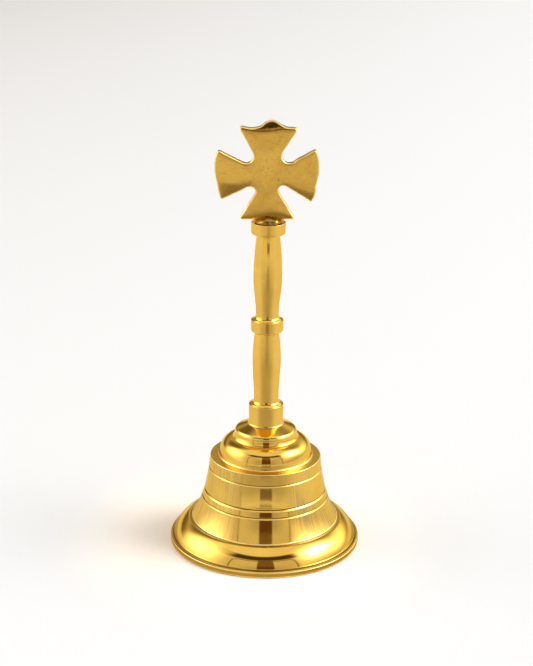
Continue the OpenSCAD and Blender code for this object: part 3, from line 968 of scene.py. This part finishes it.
def floor_material():
    """Matt pale paper, painted a little darker towards the back left where the light falls off. From
    underneath it is clear.
    """
    material, g = new_graph("pale_paper")
    place = g.add("TexCoord").outputs["Object"]
    split = g.add("SeparateXYZ", {0: place}).outputs
    # Painted fall of light: the paper's colour darkens towards the back left
    slope = g.math("SUBTRACT", g.math("MULTIPLY", split[1], 0.3), split[0])
    colour = g.mix(g.ease(slope, -0.05, 1.0, kind="LINEAR"), rgb(0.70, 0.71, 0.73), rgb(0.49, 0.484, 0.48))
    # Painted light: the glow that the brass throws on the paper, painted into its colour, pale all round and
    # warm on the shaded left
    far = g.hypot(split[0], split[1])
    colour = g.mix(g.ease(far, 0.035, 0.075, 0.5, 0.0), colour, rgb(0.86, 0.86, 0.86))
    to_left = g.ease(g.math("DIVIDE", split[0], far), -0.95, -0.2, 1.0, 0.0)
    painted_warm_glow = g.math("MULTIPLY", g.ease(far, 0.035, 0.085, 0.6, 0.0), to_left)
    colour = g.mix(painted_warm_glow, colour, rgb(0.95, 0.83, 0.7))
    fibre = g.noise(place, 900.0, 4.0, 0.6)
    colour = g.mix(g.ease(fibre, 0.3, 0.7, 0.0, 0.03), colour, rgb(0.4, 0.4, 0.39))
    one_sided(g, g.add("BsdfDiffuse", {"Color": colour, "Roughness": 0.5}).outputs[0])
    return material


def table_card_material():
    """What the brass mirrors of the table, with the table's shade painted in: darker next to the rim, a
    duller front and a darker strip down its middle.
    """
    material, g = new_graph("table_card")
    split = g.add("SeparateXYZ", {0: g.add("TexCoord").outputs["Object"]}).outputs
    az = g.azimuth(split[0], split[1])
    far = g.hypot(split[0], split[1])
    # Painted shade: the table mirrored next to the rim and in front is darker
    near = g.mix(g.ease(far, 0.036, 0.075), rgb(0.50, 0.43, 0.31), rgb(0.93, 0.92, 0.90))
    front = g.mix(g.ease(far, 0.2, 0.36), rgb(0.52, 0.51, 0.49), rgb(0.72, 0.71, 0.69))
    front = g.mix(g.ease(far, 0.46, 0.6), front, rgb(0.88, 0.86, 0.83))
    colour = g.mix(g.math("MULTIPLY", g.between(az, -46.0, 46.0, 22.0), g.ease(far, 0.06, 0.1)), near, front)
    # Painted shade: a darker strip down the middle of the mirrored table
    rows = g.math("MAXIMUM", g.between(far, 0.205, 0.45, 0.015), g.ease(far, 0.95, 1.05))
    strip = g.math("MULTIPLY", g.between(az, *COLUMN, 1.0), rows)
    colour = g.mix(g.math("MULTIPLY", strip, 0.85), colour, rgb(0.14, 0.09, 0.06))
    line = g.math("MULTIPLY", g.between(az, -45.6, -44.4, 0.4), g.ease(far, 0.1, 0.14, 0.0, 0.8))
    colour = g.mix(line, colour, PANEL_LINE)
    one_sided(g, g.add("Emission", {"Color": colour, "Strength": 1.0}).outputs[0])
    return material


def backdrop(radius):
    """A plain pale dome that only the camera sees, past the table's edge."""
    material, g = new_graph("pale_backdrop")
    light = g.add("Emission", {"Color": rgb(0.80, 0.79, 0.775), "Strength": 1.0})
    g.add("OutputMaterial", {"Surface": light.outputs[0]})
    mesh = bpy.data.meshes.new("backdrop")
    shape = bmesh.new()
    bmesh.ops.create_icosphere(shape, subdivisions=4, radius=radius)
    shape.to_mesh(mesh)
    shape.free()
    mesh.materials.append(material)
    dome = bpy.data.objects.new("backdrop", mesh)
    bpy.context.scene.collection.objects.link(dome)
    hide_from(dome, "diffuse", "glossy", "transmission", "shadow", "volume_scatter")


def studio():
    studio_world()
    floor_r, card_r, card_z = 6.0, 3.0, 0.0004
    table_hole, card_hole = 0.0346, 0.0353      # just inside and just outside the rim's foot
    # The table is open under the bell's mouth, so that light reaches the inside when it is seen from below
    flat_ring("table", table_hole, floor_r, 0.0, floor_material())
    card = flat_ring("table_card", card_hole, card_r, card_z, table_card_material())
    hide_from(card, "camera", "diffuse", "transmission", "shadow", "volume_scatter")
    backdrop(floor_r)


def camera():
    """A long lens that looks down at the bell from in front, with a slight roll."""
    data = bpy.data.cameras.new("camera")
    data.lens = 85.0
    data.sensor_width = 36.0
    data.clip_start, data.clip_end = 0.01, 30.0
    view = bpy.data.objects.new("camera", data)
    bpy.context.scene.collection.objects.link(view)
    down, roll = math.radians(18.353), math.radians(0.759)
    right, up = Vector((1, 0, 0)), Vector((0, math.sin(down), math.cos(down)))
    ahead = Vector((0, math.cos(down), -math.sin(down)))
    turned_right = right * math.cos(roll) + up * math.sin(roll)
    turned_up = up * math.cos(roll) - right * math.sin(roll)
    basis = Matrix((turned_right, turned_up, -ahead)).transposed().to_4x4()
    place = Vector((-0.0002, -0.53649, 0.2581))
    view.matrix_world = Matrix.Translation(place) @ basis
    bpy.context.scene.camera = view


# ---------------------------------------------------------------- the whole bell

camera()
studio()
bpy.context.scene.view_settings.view_transform = "Standard"

mirror = brass("polished_brass", 0.055, rings=0.0000004, ring_size=0.0003)
brushed = brass("brushed_brass", 0.075, rings=0.0000008, ring_size=0.00016, broken=14.0, brushed=0.8)
satin = brass("satin_brass", 0.22, rings=0.0000008, ring_size=0.0002, broken=5.0, anisotropic=0.3)
handle = brass("drawn_brass", 0.29, rings=0.0000002, ring_size=0.0003, broken=3.0, spread=0.08,
               bright_from=0.103)
rough = brass("cast_brass", 0.42, tone=0.86, rings=0.000001, ring_size=0.0006, grain=0.00001, tarnish=0.75)
lip = brass("turned_lip_brass", 0.28, tone=0.94, rings=0.000004, ring_size=0.0004, broken=3.0, tarnish=0.25)
edge = burnish_and_highlight_edge()
groove_film = brass("groove_brass", 0.35, tone=0.33, rings=0.000001, tarnish=0.6)
# The solder lump in the top collar's cup: tarnished, and darkened to 0.4 as painted shade of the cup
foot = brass("solder_foot_tarnish_and_painted_shade", 0.24, tone=0.4, grain=0.000001, tarnish=0.6)
# Painted shade: brass darkened to about a third for the top arm's sloping front, with a little tarnish
darkening = brass("tarnish_and_painted_shade_brass", 0.16, tone=0.36, grain=0.000001, tarnish=0.35)
dull = brass("ball_brass", 0.26, tone=0.93, rings=0.000003, ring_size=0.0003, broken=3.0, tarnish=0.3)
plated = zinc_steel("zinc_plated_steel", 0.3)
shelf = brass("shelf_brass", 0.34, tone=0.84, rings=0.0000008, ring_size=0.0003, broken=4.0, anisotropic=0.3)
finishes = {POLISHED: mirror, BRUSHED: brushed, SATIN: satin, CAST: rough, LIP: lip, EDGE: edge,
            GROOVE: groove_film, GRIP: handle, SHELF: shelf}

bell_cup(finishes)
crown_cap(finishes)
base_ferrule(finishes)
grip("lower_grip", seat_r=5.82, neck_r=4.5, widest_r=5.12, widest_at=0.63, top_r=4.3, finishes=finishes)
collar("middle_collar", finishes)
grip("upper_grip", seat_r=5.32, neck_r=4.08, widest_r=5.12, widest_at=0.5, top_r=4.05, finishes=finishes)
collar("top_collar", finishes)
cross({FACE: cast_brass(), SOLDER: foot, TARNISH_AND_PAINTED_SHADE: darkening, BEVEL: edge})
tie_rod(plated)
crown_washer(plated)
lock_nut(plated)
clapper_link(plated)
clapper_rod(plated)
clapper_ball(dull)
